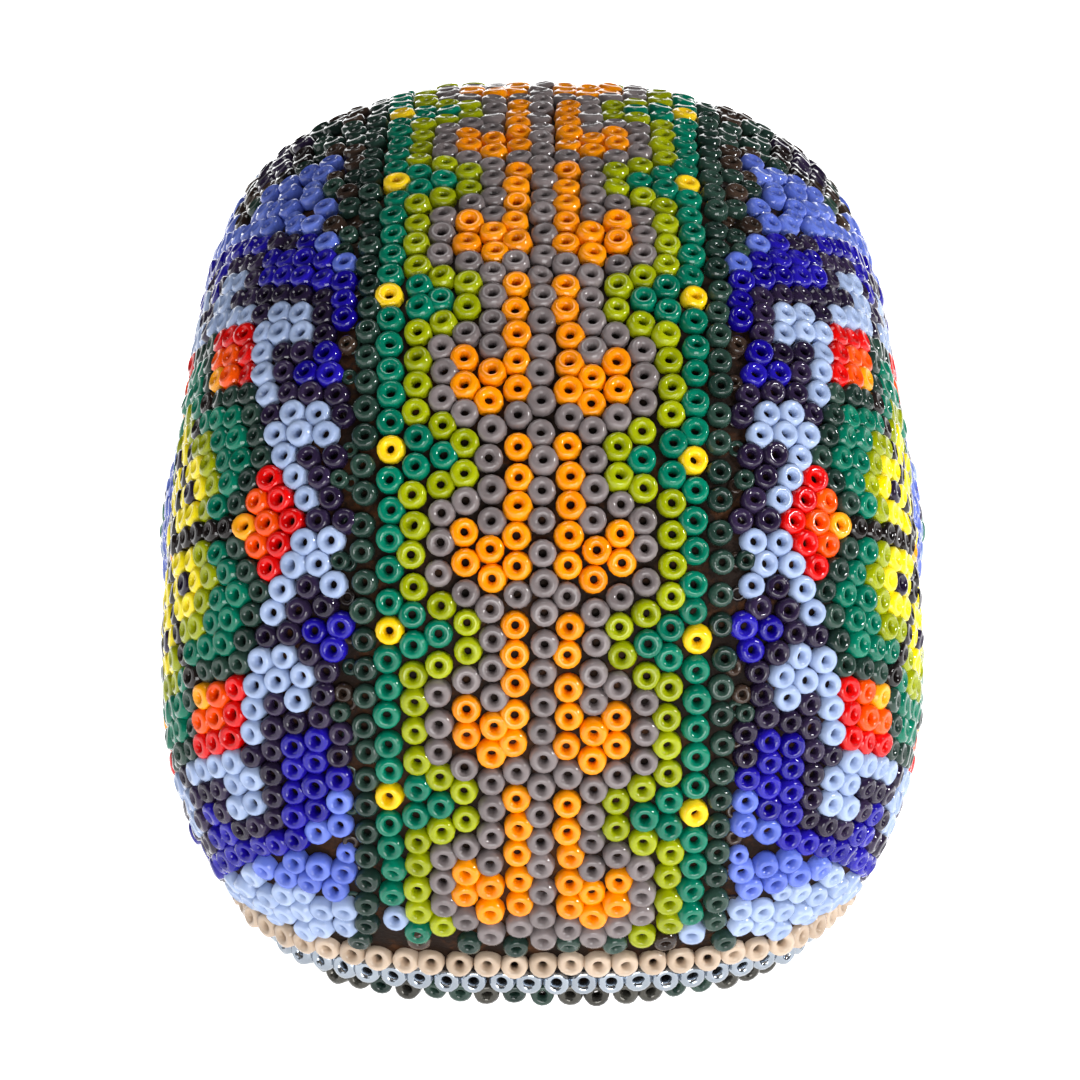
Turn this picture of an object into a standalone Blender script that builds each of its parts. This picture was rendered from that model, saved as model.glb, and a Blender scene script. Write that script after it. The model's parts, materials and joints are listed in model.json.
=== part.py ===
"""A small beaded skull: a solid core, a coat of beeswax, and a skin of glass seed beads.

The skull stands on its flat base and looks along +Y, so its back faces -Y.
The bead skin is modelled as the fields that a bead worker lays one after another:
three rows round the base, a band over the crown, a star panel on each side,
and the fields of the face. Each field is a shell one bead thick.
"""

import math

import bmesh
import bpy
import numpy as np

MM = 0.001

# Braincase: half sizes about its centre, and how square its outlines are.
HALF_WIDTH = 31.0 * MM
REAR_LENGTH = 43.9 * MM
FRONT_LENGTH = 38.0 * MM
RISE = 40.7 * MM
DROP = 30.5 * MM
CENTRE_HEIGHT = 22.8 * MM
PROFILE_POWER_ABOVE = 2.2
PROFILE_POWER_BELOW = 2.87
WIDTH_POWER = 2.66
REAR_EDGE_POWER = 6.4
FRONT_EDGE_POWER = 3.4
EDGE_CHANGE = 0.8  # how far forward, as a share of a direction, the front edge power is reached
TAPER_ABOVE = 0.17
TAPER_BELOW = 0.39
TAPER_POWER_ABOVE = 1.6
TAPER_POWER_BELOW = 2.0

# Face, as places in the front view: half spacing, height, half width, half height and depth.
EYE = (14.5 * MM, 34.0 * MM, 9.6 * MM, 9.6 * MM, 4.2 * MM)
NOSE = (0.0 * MM, 23.4 * MM, 5.6 * MM, 6.0 * MM, 1.8 * MM)
MUZZLE = (0.0 * MM, 11.0 * MM, 19.0 * MM, 14.0 * MM, -3.5 * MM)
BROW = (12.0 * MM, 45.5 * MM, 15.0 * MM, 6.0 * MM, -1.4 * MM)
FEATURE_EDGE = 1.2  # where a feature ends, as a share of its half size
FEATURE_FADE = 10.0 * MM  # behind this distance ahead of the centre a feature fades out
CHEEKBONE_PLACE = (0.86, 0.42, -0.12)
CHEEKBONE_RISE = 3.2 * MM
CHEEKBONE_SPREAD = 0.42
TEMPLE_PLACE = (0.80, 0.52, 0.30)
TEMPLE_DEPTH = 1.2 * MM
TEMPLE_SPREAD = 0.30

# Layers, measured inwards from the tops of the beads.
BEAD_THICKNESS = 1.3 * MM
GAP = 0.3 * MM
LAYER_GAP = 0.7 * MM
CORE_GAP = 0.9 * MM
WAX_THICKNESS = 0.7 * MM
WAX_DEPTH = BEAD_THICKNESS + LAYER_GAP
CORE_DEPTH = WAX_DEPTH + WAX_THICKNESS + CORE_GAP

# Bead fields.
BEAD_ROW = 2.15 * MM
ROWS_TOP = 3 * BEAD_ROW
BAND_HALF_WIDTH = 14.8 * MM
BORDER_WIDTH = 1.5 * MM
BAND_BACK = -15.0 * MM  # behind this the band reaches down to the base rows
BAND_CROWN = 40.0 * MM  # ahead of that it keeps above this height
SIDE_TOP = 54.0 * MM
SIDE_FRONT = 9.0 * MM
FACE_REAR = 23.0 * MM
FOREHEAD_BOTTOM = 44.6 * MM
MEDALLION_RADIUS = 16.2 * MM
MEDALLION_REAR_OFFSET = 20.5 * MM
MEDALLION_HEIGHT = 35.6 * MM
NOSE_INSET = 0.4 * MM  # how far inside the nose hollow's rim its field ends
TEETH_HALF_WIDTH = 17.0 * MM
TEETH_TOP = 16.8 * MM

FACETS_PER_SIDE = 12
REACH = 120 * MM  # longer than the skull, for cutters that run past it
OVERRUN = 1.0 * MM  # how far a star's cutter starts inside its field's edge
SOLVER_STEPS = 48
NORMAL_STEP = 1e-3

COLLECTION = "beaded_skull"
CUTTERS = "cutters"


def clear_scene():
    """Removes whatever the scene holds."""
    for thing in list(bpy.data.objects):
        bpy.data.objects.remove(thing, do_unlink=True)


def make_collection(name):
    """A new collection in the scene."""
    made = bpy.data.collections.new(name)
    bpy.context.scene.collection.children.link(made)
    return made


def make_material(name, colour, roughness, metallic=0.0, coat=0.0):
    """A Principled BSDF of one colour."""
    made = bpy.data.materials.new(name)
    made.use_nodes = True
    shader = made.node_tree.nodes["Principled BSDF"]
    shader.inputs["Base Color"].default_value = (*colour, 1.0)
    shader.inputs["Roughness"].default_value = roughness
    shader.inputs["Metallic"].default_value = metallic
    shader.inputs["Coat Weight"].default_value = coat
    made.diffuse_color = (*colour, 1.0)
    return made


def smooth(value):
    """0 below 0, 1 above 1, and a smooth rise between."""
    t = np.clip(value, 0.0, 1.0)
    return t * t * (3 - 2 * t)


def braincase_radius(ways):
    """Distance from the centre to the plain braincase along each unit direction."""
    x, y, z = np.abs(ways[:, 0]), ways[:, 1], ways[:, 2]
    length = np.where(y > 0, FRONT_LENGTH, REAR_LENGTH)
    height = np.where(z > 0, RISE, DROP)
    power = np.where(z > 0, PROFILE_POWER_ABOVE, PROFILE_POWER_BELOW)
    profile = ((np.abs(y) / length) ** power + (np.abs(z) / height) ** power) ** (1 / power)
    edge = REAR_EDGE_POWER + (FRONT_EDGE_POWER - REAR_EDGE_POWER) * smooth(y / EDGE_CHANGE)
    taper = np.where(z > 0, TAPER_ABOVE, TAPER_BELOW)
    taper_power = np.where(z > 0, TAPER_POWER_ABOVE, TAPER_POWER_BELOW)
    low = np.zeros(len(ways))
    high = np.full(len(ways), REACH)
    for _ in range(SOLVER_STEPS):
        r = (low + high) / 2
        rise = np.minimum(r * np.abs(z) / height, 1.0)
        width = HALF_WIDTH * (1 - taper * rise**taper_power)
        inside = (r * x / width) ** WIDTH_POWER + (r * profile) ** edge < 1
        low, high = np.where(inside, r, low), np.where(inside, high, r)
    return low


def hollow(points, place):
    """Depth of a face feature at each point: full in its middle, none past its rim."""
    across, up, half_width, half_height, depth = place
    distance = np.hypot(
        (np.abs(points[:, 0]) - across) / half_width, (points[:, 2] - up) / half_height
    )
    front = smooth(points[:, 1] / FEATURE_FADE)
    return depth * front * smooth(FEATURE_EDGE - distance)


def swell(ways, place, height, spread):
    """A round swelling on both sides, centred on one direction."""
    centre = np.array(place) / np.linalg.norm(place)
    mirrored = ways.copy()
    mirrored[:, 0] = np.abs(mirrored[:, 0])
    off = np.arccos(np.clip(mirrored @ centre, -1.0, 1.0))
    return height * np.exp(-((off / spread) ** 2))


def skull_points(ways):
    """Points of the bead tops along each unit direction from the centre of the braincase."""
    radius = braincase_radius(ways)
    plain = ways * radius[:, None] + [0.0, 0.0, CENTRE_HEIGHT]
    for place in (EYE, NOSE, MUZZLE, BROW):
        radius = radius - hollow(plain, place)
    radius = radius + swell(ways, CHEEKBONE_PLACE, CHEEKBONE_RISE, CHEEKBONE_SPREAD)
    radius = radius - swell(ways, TEMPLE_PLACE, TEMPLE_DEPTH, TEMPLE_SPREAD)
    return ways * radius[:, None] + [0.0, 0.0, CENTRE_HEIGHT]


def skull_normals(ways):
    """Outward unit normals of the skull where each direction meets it."""
    helper = np.where(np.abs(ways[:, 2:3]) < 0.9, [[0.0, 0.0, 1.0]], [[0.0, 1.0, 0.0]])
    first = np.cross(ways, helper)
    first /= np.linalg.norm(first, axis=1)[:, None]
    second = np.cross(ways, first)
    sides = []
    for tangent in (first, second):
        ends = []
        for sign in (1, -1):
            moved = ways + sign * NORMAL_STEP * tangent
            ends.append(skull_points(moved / np.linalg.norm(moved, axis=1)[:, None]))
        sides.append(ends[0] - ends[1])
    normals = np.cross(sides[0], sides[1])
    normals /= np.linalg.norm(normals, axis=1)[:, None]
    facing = np.sign((normals * ways).sum(axis=1))
    return normals * facing[:, None]


def middle_of_length():
    """Y of the middle of the skull's length, which becomes the origin."""
    angles = np.radians(np.linspace(0.0, 360.0, 721))
    ways = np.stack([0 * angles, np.cos(angles), np.sin(angles)], axis=1)
    points = skull_points(ways)
    shown = points[points[:, 2] >= 0]
    return (shown[:, 1].min() + shown[:, 1].max()) / 2


def skull_mesh(name, depth, middle, bottom=None):
    """A closed mesh of the skull's form at a depth below the bead tops, cut level at its bottom."""
    form = bmesh.new()
    bmesh.ops.create_cube(form, size=2.0)
    bmesh.ops.subdivide_edges(
        form, edges=form.edges[:], cuts=FACETS_PER_SIDE - 1, use_grid_fill=True
    )
    flat = np.array([v.co[:] for v in form.verts])
    # Equal angles across each face of the cube keep the facets alike in size.
    ways = np.tan(flat * math.pi / 4)
    ways /= np.linalg.norm(ways, axis=1)[:, None]
    places = skull_points(ways) - depth * skull_normals(ways) - [0.0, middle, 0.0]
    for vertex, place in zip(form.verts, places):
        vertex.co = place
    if bottom is not None:
        cut = bmesh.ops.bisect_plane(
            form,
            geom=form.verts[:] + form.edges[:] + form.faces[:],
            dist=1e-6,
            plane_co=(0, 0, bottom),
            plane_no=(0, 0, 1),
            clear_inner=True,
        )
        rim = [e for e in cut["geom_cut"] if isinstance(e, bmesh.types.BMEdge)]
        bmesh.ops.contextual_create(form, geom=rim)
    bmesh.ops.recalc_face_normals(form, faces=form.faces[:])
    mesh = bpy.data.meshes.new(name)
    form.to_mesh(mesh)
    form.free()
    mesh.shade_smooth()
    return mesh


def shell_mesh(name, depth, thickness, middle, bottom):
    """A mesh of one layer of the skull, open at its base."""
    outer = bpy.data.objects.new(name, skull_mesh(name, depth, middle, bottom))
    inner = bpy.data.objects.new(name + "_inside", skull_mesh(name, depth + thickness, middle))
    for thing in (outer, inner):
        bpy.context.scene.collection.objects.link(thing)
    cut_with(outer, inner, "DIFFERENCE", "EXACT")
    graph = bpy.context.evaluated_depsgraph_get()
    mesh = bpy.data.meshes.new_from_object(outer.evaluated_get(graph))
    for thing in (outer, inner):
        bpy.data.objects.remove(thing, do_unlink=True)
    mesh.name = name
    return mesh


def add_object(name, mesh, collection, material=None):
    """An object for a mesh, with its material."""
    made = bpy.data.objects.new(name, mesh)
    collection.objects.link(made)
    if material is not None:
        mesh.materials.clear()
        mesh.materials.append(material)
    return made


def cut_with(thing, cutter, operation, solver):
    """Keeps what a cutter holds, or takes it away."""
    boolean = thing.modifiers.new(cutter.name, "BOOLEAN")
    boolean.operation = operation
    boolean.solver = solver
    boolean.object = cutter


def as_cutter(name, mesh, collection):
    """A cutter, which is never rendered."""
    made = add_object(name, mesh, collection)
    made.hide_render = True
    made.display_type = "WIRE"
    return made


def box_cutter(name, low, high, collection):
    """A box between two corners."""
    form = bmesh.new()
    bmesh.ops.create_cube(form, size=1.0)
    low, high = np.array(low), np.array(high)
    for vertex in form.verts:
        vertex.co = (low + high) / 2 + np.array(vertex.co) * (high - low)
    mesh = bpy.data.meshes.new(name)
    form.to_mesh(mesh)
    form.free()
    return as_cutter(name, mesh, collection)


def rod_cutter(name, place, axis, radius, sides, collection, stretch=1.0, low=0.0):
    """A prism with that many sides along X or Y, from low onwards, through a place in its own plane."""
    form = bmesh.new()
    bmesh.ops.create_cone(
        form,
        segments=sides,
        radius1=radius,
        radius2=radius,
        depth=REACH,
        cap_ends=True,
        cap_tris=False,
    )
    for vertex in form.verts:
        first, second, along = vertex.co
        along += REACH / 2 + low
        if axis == "X":
            vertex.co = (along, place[0] + first, place[1] + second)
        else:
            vertex.co = (place[0] + first, along, place[1] - stretch * second)
    mesh = bpy.data.meshes.new(name)
    form.to_mesh(mesh)
    form.free()
    return as_cutter(name, mesh, collection)


def outline_cutter(name, outline, low, high, collection):
    """A flat outline in the YZ plane, extruded along X from low to high."""
    form = bmesh.new()
    face = form.faces.new([form.verts.new((low, y, z)) for y, z in outline])
    pushed = bmesh.ops.extrude_face_region(form, geom=[face])
    for piece in pushed["geom"]:
        if isinstance(piece, bmesh.types.BMVert):
            piece.co.x = high
    bmesh.ops.recalc_face_normals(form, faces=form.faces[:])
    mesh = bpy.data.meshes.new(name)
    form.to_mesh(mesh)
    form.free()
    return as_cutter(name, mesh, collection)


class Skin:
    """Lays the bead fields, each a copy of one skin that cutters trim."""

    def __init__(self, mesh, parts, cutters):
        self.mesh = mesh
        self.parts = parts
        self.cutters = cutters

    def field(self, name, material, keep, remove=(), solver="EXACT"):
        """One field of beads: the skin inside the keep cutter and outside the others."""
        made = add_object(name, self.mesh.copy(), self.parts, material)
        made.data.name = name
        cut_with(made, keep, "INTERSECT", solver)
        for cutter in remove:
            cut_with(made, cutter, "DIFFERENCE", solver)
        return made

    def box(self, name, low, high):
        """A box cutter of this skin."""
        return box_cutter(name, low, high, self.cutters)


def base_rows(skin, materials):
    """Three rows of beads round the base, from the table up."""
    names = (
        ("base_row_lower", "black_beads"),
        ("base_row_upper", "black_beads"),
        ("base_row_beige", "beige_beads"),
    )
    for index, (name, finish) in enumerate(names):
        low = index * BEAD_ROW + (GAP if index else -GAP)
        slab = skin.box(
            "cut_" + name, (-REACH, -REACH, low), (REACH, REACH, (index + 1) * BEAD_ROW)
        )
        skin.field(name, materials[finish], slab)


def crown_band(skin, materials, middle):
    """The band from the base up the back and over the crown to the forehead."""
    low = ROWS_TOP + GAP
    outline = (
        (-REACH, low),
        (BAND_BACK - middle, low),
        (BAND_BACK - middle, BAND_CROWN),
        (FACE_REAR - middle, BAND_CROWN),
        (FACE_REAR - middle, REACH),
        (-REACH, REACH),
    )
    edge = BAND_HALF_WIDTH + GAP
    strips = (
        ("centre_band", "band_beads", -BAND_HALF_WIDTH, BAND_HALF_WIDTH),
        ("border_column_left", "black_beads", -edge - BORDER_WIDTH, -edge),
        ("border_column_right", "black_beads", edge, edge + BORDER_WIDTH),
    )
    for name, finish, left, right in strips:
        strip = outline_cutter("cut_" + name, outline, left, right, skin.cutters)
        skin.field(name, materials[finish], strip)


def side_panels(skin, materials, middle):
    """On each side a star panel in its field, and the dark field over it."""
    inner = BAND_HALF_WIDTH + 2 * GAP + BORDER_WIDTH
    star = (-MEDALLION_REAR_OFFSET - middle, MEDALLION_HEIGHT)
    star_hole = MEDALLION_RADIUS + GAP / math.cos(math.pi / 6)
    for side, sign in (("left", -1), ("right", 1)):
        near, far = sorted((sign * inner, sign * REACH))
        panel = skin.box(
            "cut_side_" + side,
            (near, -REACH, ROWS_TOP + GAP),
            (far, SIDE_FRONT - middle, SIDE_TOP),
        )
        start = inner - OVERRUN if sign > 0 else -REACH - inner + OVERRUN
        hexagons = [
            rod_cutter(f"cut_star_{side}_{kind}", star, "X", radius, 6, skin.cutters, low=start)
            for kind, radius in (("in", MEDALLION_RADIUS), ("out", star_hole))
        ]
        skin.field("medallion_" + side, materials["star_beads"], hexagons[0])
        skin.field("side_field_" + side, materials["blue_beads"], panel, [hexagons[1]])
        top = skin.box(
            "cut_crown_" + side,
            (near, -REACH, SIDE_TOP + GAP),
            (far, FACE_REAR - middle, REACH),
        )
        skin.field("crown_field_" + side, materials["dark_beads"], top)
        temple = skin.box(
            "cut_temple_" + side,
            (near, SIDE_FRONT + GAP - middle, ROWS_TOP + GAP),
            (far, FACE_REAR - middle, SIDE_TOP),
        )
        skin.field("temple_" + side, materials["blue_beads"], temple)


def face(skin, materials, middle):
    """The forehead, cheeks, eye sockets, nose hollow and two rows of teeth."""
    rear = FACE_REAR + GAP - middle
    teeth_middle = (ROWS_TOP + TEETH_TOP) / 2
    forehead = skin.box(
        "cut_forehead", (-REACH, rear, FOREHEAD_BOTTOM + GAP), (REACH, REACH, REACH)
    )
    skin.field("forehead", materials["band_beads"], forehead)
    rows = (
        ("upper_teeth", teeth_middle + GAP / 2, TEETH_TOP),
        ("lower_teeth", ROWS_TOP + GAP, teeth_middle - GAP / 2),
    )
    for name, low, high in rows:
        slab = skin.box(
            "cut_" + name, (-TEETH_HALF_WIDTH, rear, low), (TEETH_HALF_WIDTH, REACH, high)
        )
        skin.field(name, materials["tooth_beads"], slab)
    mouth = skin.box(
        "cut_mouth",
        (-TEETH_HALF_WIDTH - GAP, 0, -REACH),
        (TEETH_HALF_WIDTH + GAP, REACH, TEETH_TOP + GAP),
    )
    nose_size = NOSE[2] - NOSE_INSET
    nose_stretch = NOSE[3] / NOSE[2]
    noses = [
        rod_cutter("cut_nose_" + kind, NOSE[:2], "Y", size, 18, skin.cutters, stretch=nose_stretch)
        for kind, size in (("in", nose_size), ("out", nose_size + GAP))
    ]
    skin.field("nose_hollow", materials["dark_beads"], noses[0])
    for side, sign in (("left", -1), ("right", 1)):
        place = (sign * EYE[0], EYE[1])
        eyes = [
            rod_cutter(f"cut_eye_{side}_{kind}", place, "Y", size, 26, skin.cutters, low=rear)
            for kind, size in (("in", EYE[2]), ("out", EYE[2] + GAP))
        ]
        skin.field("eye_socket_" + side, materials["eye_beads"], eyes[0])
        near, far = sorted((sign * GAP / 2, sign * REACH))
        cheek = skin.box(
            "cut_cheek_" + side, (near, rear, ROWS_TOP + GAP), (far, REACH, FOREHEAD_BOTTOM)
        )
        holes = (eyes[1], noses[1], mouth)
        skin.field("cheek_" + side, materials["blue_beads"], cheek, holes, solver="MANIFOLD")


def main():
    clear_scene()
    parts = make_collection(COLLECTION)
    cutters = make_collection(CUTTERS)
    materials = {
        "core": make_material("core", (0.30, 0.20, 0.12), 0.9),
        "wax": make_material("wax", (0.16, 0.08, 0.03), 0.55),
        "black_beads": make_material("black_beads", (0.012, 0.012, 0.014), 0.08, coat=0.5),
        "beige_beads": make_material("beige_beads", (0.58, 0.45, 0.34), 0.1, coat=0.5),
        "band_beads": make_material("band_beads", (0.95, 0.28, 0.01), 0.1, coat=0.5),
        "star_beads": make_material("star_beads", (0.0, 0.24, 0.12), 0.1, coat=0.5),
        "blue_beads": make_material("blue_beads", (0.03, 0.03, 0.40), 0.1, coat=0.5),
        "dark_beads": make_material("dark_beads", (0.02, 0.012, 0.01), 0.08, coat=0.5),
        "tooth_beads": make_material("tooth_beads", (0.75, 0.70, 0.60), 0.1, coat=0.5),
        "eye_beads": make_material("eye_beads", (0.80, 0.03, 0.01), 0.1, coat=0.5),
    }
    middle = middle_of_length()
    core = skull_mesh("core", CORE_DEPTH, middle, 0.0)
    add_object("core", core, parts, materials["core"])
    wax = shell_mesh("wax_coat", WAX_DEPTH, WAX_THICKNESS, middle, GAP)
    add_object("wax_coat", wax, parts, materials["wax"])
    skin = Skin(shell_mesh("bead_skin", 0.0, BEAD_THICKNESS, middle, 0.0), parts, cutters)
    base_rows(skin, materials)
    crown_band(skin, materials, middle)
    side_panels(skin, materials, middle)
    face(skin, materials, middle)


main()
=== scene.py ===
"""The looks of a small skull covered in glass seed beads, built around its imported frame.

The maker presses each bead into warm beeswax with its hole outwards, field by field:
three rows round the base, a band of columns up the back and over the crown, a star of
six points on each side, and the fields of the face. This script lays the beads in the
same order on the same form, and joins those of one field and one colour into one piece.
"""

import json
import logging
import math
from collections.abc import Sequence
from dataclasses import dataclass, field
from enum import Enum

import bpy
import numpy as np
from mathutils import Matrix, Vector

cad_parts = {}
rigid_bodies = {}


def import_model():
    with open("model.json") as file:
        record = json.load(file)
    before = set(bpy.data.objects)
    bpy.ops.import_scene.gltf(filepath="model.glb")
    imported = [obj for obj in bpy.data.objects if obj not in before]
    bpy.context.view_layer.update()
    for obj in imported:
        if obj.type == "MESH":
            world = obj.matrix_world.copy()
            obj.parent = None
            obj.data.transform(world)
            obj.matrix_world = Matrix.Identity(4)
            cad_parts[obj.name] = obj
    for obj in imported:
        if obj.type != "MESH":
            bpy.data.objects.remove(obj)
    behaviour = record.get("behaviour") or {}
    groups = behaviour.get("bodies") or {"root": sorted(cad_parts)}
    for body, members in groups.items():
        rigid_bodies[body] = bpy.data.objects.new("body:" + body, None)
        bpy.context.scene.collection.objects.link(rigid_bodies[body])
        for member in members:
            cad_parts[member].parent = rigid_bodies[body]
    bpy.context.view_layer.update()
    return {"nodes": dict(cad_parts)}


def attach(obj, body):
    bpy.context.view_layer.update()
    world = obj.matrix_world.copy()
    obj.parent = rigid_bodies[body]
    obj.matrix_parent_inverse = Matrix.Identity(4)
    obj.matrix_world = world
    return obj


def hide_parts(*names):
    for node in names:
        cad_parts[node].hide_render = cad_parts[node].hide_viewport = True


LOG = logging.getLogger("beaded_skull")
BODY = "root"
MM = 0.001  # lengths below are millimetres unless they say otherwise

PITCH = 2.13  # from one bead to the next where they lie close
COLUMN_SPACING = 1.97  # between the columns of the band
COLUMN_PITCH = 2.38  # along a column of the band
ROWS_TOP = 3 * 2.15  # of the three rows round the base
SIDES = {"left": -1, "right": 1}

Array = np.ndarray


def smooth(value: Array) -> Array:
    """0 below 0, 1 above 1, and a smooth rise between."""
    share = np.clip(value, 0.0, 1.0)
    return share * share * (3 - 2 * share)


def unit(vectors: Array) -> Array:
    """The vectors at length 1."""
    return vectors / np.linalg.norm(vectors, axis=-1, keepdims=True)


def linear(colour: Sequence[int]) -> tuple[float, float, float]:
    """A colour of 0 to 255 as it is seen, as the renderer's linear shares."""
    low_end, slope, power = 0.04045, 12.92, 2.4
    shares = [part / 255 for part in colour]
    return tuple(s / slope if s <= low_end else ((s + 0.055) / 1.055) ** power for s in shares)


# ---------------------------------------------------------------- shader maths


class Socket:
    """A shader output that takes part in Python arithmetic."""

    def __init__(self, graph: "Graph", source: bpy.types.NodeSocket) -> None:
        """Wraps one output socket of the graph."""
        self.graph = graph
        self.source = source

    def maths(self, operation: str, *others: "Socket | float") -> "Socket":
        """A Math node of this socket and up to two more values."""
        inputs = dict(enumerate((self, *others)))
        return self.graph.node("ShaderNodeMath", {"operation": operation}, inputs)

    def __add__(self, other: "Socket | float") -> "Socket":
        """Sum."""
        return self.maths("ADD", other)

    __radd__ = __add__

    def __mul__(self, other: "Socket | float") -> "Socket":
        """Product."""
        return self.maths("MULTIPLY", other)

    __rmul__ = __mul__

    def __sub__(self, other: "Socket | float") -> "Socket":
        """Difference."""
        return self.maths("SUBTRACT", other)

    def __rsub__(self, other: float) -> "Socket":
        """Difference from a number."""
        return self.maths("MULTIPLY_ADD", -1.0, other)

    def between(self, low: float, high: float) -> "Socket":
        """0 at low, 1 at high, and held there outside them."""
        settings = {"interpolation_type": "SMOOTHSTEP"}
        inputs = {"Value": self, "From Min": low, "From Max": high}
        return self.graph.node("ShaderNodeMapRange", settings, inputs)


class Graph:
    """The node tree of one new material."""

    def __init__(self, name: str) -> None:
        """Makes the material, with its Principled shader."""
        self.material = bpy.data.materials.new(name)
        self.material.use_nodes = True
        self.tree = self.material.node_tree
        self.shader = self.tree.nodes["Principled BSDF"]

    def node(
        self,
        kind: str,
        settings: dict | None = None,
        inputs: dict | None = None,
        output: int | str = 0,
    ) -> Socket:
        """One node.

        Args:
            kind: the node's type.
            settings: its properties, set before its sockets; stops are a ramp's stops.
            inputs: a value or a Socket for each named or numbered input.
            output: which output is returned.

        Returns:
            That output.
        """
        made = self.tree.nodes.new(kind)
        for name, value in (settings or {}).items():
            if name == "stops":
                self._set_stops(made.color_ramp, value)
            else:
                setattr(made, name, value)
        for name, value in (inputs or {}).items():
            self.feed(made.inputs[name], value)
        return Socket(self, made.outputs[output])

    @staticmethod
    def _set_stops(ramp: bpy.types.ColorRamp, stops: Sequence[tuple]) -> None:
        """Gives a colour ramp its (position, colour) stops."""
        while len(ramp.elements) < len(stops):
            ramp.elements.new(1.0)
        for element, (position, colour) in zip(ramp.elements, stops):
            element.position = position
            element.color = (*colour, 1.0)

    def feed(self, target: bpy.types.NodeSocket, value: "Socket | float | tuple") -> None:
        """Links a socket, or sets the input's own value."""
        if isinstance(value, Socket):
            self.tree.links.new(value.source, target)
        elif isinstance(value, tuple) and target.type == "RGBA":
            target.default_value = (*value, 1.0)
        else:
            target.default_value = value

    def finish(self, **inputs: "Socket | float | tuple") -> bpy.types.Material:
        """Feeds the shader's inputs, named with _ for a space, and returns the material."""
        for name, value in inputs.items():
            self.feed(self.shader.inputs[name.replace("_", " ")], value)
        return self.material

    def attribute(self, name: str) -> Socket:
        """A number stored on the mesh."""
        settings = {"attribute_type": "GEOMETRY", "attribute_name": name}
        return self.node("ShaderNodeAttribute", settings, output="Fac")

    def noise(self, size: float, detail: float = 3.0, roughness: float = 0.55) -> Socket:
        """Soft noise whose patches are about size millimetres across."""
        place = self.node("ShaderNodeTexCoord", output="Object")
        inputs = {
            "Vector": place,
            "Scale": 1 / (size * MM),
            "Detail": detail,
            "Roughness": roughness,
        }
        return self.node("ShaderNodeTexNoise", {}, inputs)

    def mix(self, share: "Socket | float", first: "Socket | tuple", second: "Socket | tuple",
            blend: str = "MIX") -> Socket:
        """A colour between two, or one laid over the other by a blend."""
        settings = {"data_type": "RGBA", "blend_type": blend}
        return self.node("ShaderNodeMix", settings, {0: share, 6: first, 7: second}, output=2)

    def bump(self, height: Socket, depth: float, strength: float = 1.0) -> Socket:
        """A normal from a height, whose full range is depth millimetres."""
        inputs = {"Height": height, "Distance": depth * MM, "Strength": strength}
        return self.node("ShaderNodeBump", {}, inputs)


# ---------------------------------------------------------------- finishes

# The colours of the wax, 0 to 255: brown beeswax, its brown and dark tones darkened further as painted
# shade between the beads.
WAX_BROWN_SHADED = (30, 17, 9)
WAX_DARK_SHADED = (11, 7, 5)
WAX_LIGHT = (84, 48, 20)


@dataclass(frozen=True)
class GlassFinish:
    """One colour of seed bead, as it comes in its hank.

    Attributes:
        colour: as seen, 0 to 255.
        glow: the lighter colour of the glass where it is thin.
        size: the bead's width against the usual one.
        roughness: of its skin.
        spread: how far single beads differ from the hank's colour.
        metallic: how far its lining looks like metal.
    """

    colour: tuple[int, int, int]
    glow: tuple[int, int, int]
    size: float = 1.0
    roughness: float = 0.07
    spread: float = 0.16
    metallic: float = 0.0

    def dress(self, name: str) -> bpy.types.Material:
        """The glass as a material: cloudy streaks, bead to bead difference, a waxy foot."""
        graph = Graph(name)
        tone = graph.attribute(BeadShape.TONE)
        height = graph.attribute(BeadShape.HEIGHT)
        streaks = graph.noise(0.7, detail=2.0)
        cloud = (streaks * 0.6 + tone * 0.6).between(0.25, 0.95)
        glass = graph.mix(cloud * self.spread * 3.0, linear(self.colour), linear(self.glow))
        shade = tone * self.spread + (1.0 - self.spread / 2)
        grey = graph.node("ShaderNodeCombineColor", {}, {0: shade, 1: shade, 2: shade})
        shaded = graph.mix(1.0, glass, grey, blend="MULTIPLY")
        smear = graph.noise(0.35, detail=4.0)
        foot = (height + smear * 0.5).between(0.34, 0.12)
        # the waxy foot takes the wax brown, which is darkened as painted shade
        coloured = graph.mix(foot, shaded, linear(WAX_BROWN_SHADED))
        film = graph.noise(1.6, detail=4.0).between(0.5, 0.8)
        rough = film * 0.07 + foot * 0.35 + self.roughness
        ripple = graph.noise(0.9, detail=1.0)
        return graph.finish(
            Base_Color=coloured,
            Roughness=rough,
            Metallic=self.metallic,
            IOR=1.5,
            Specular_IOR_Level=0.3,
            Coat_Weight=0.2,
            Coat_Roughness=0.05,
            Normal=graph.bump(ripple, 0.02, 0.5),
        )


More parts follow.
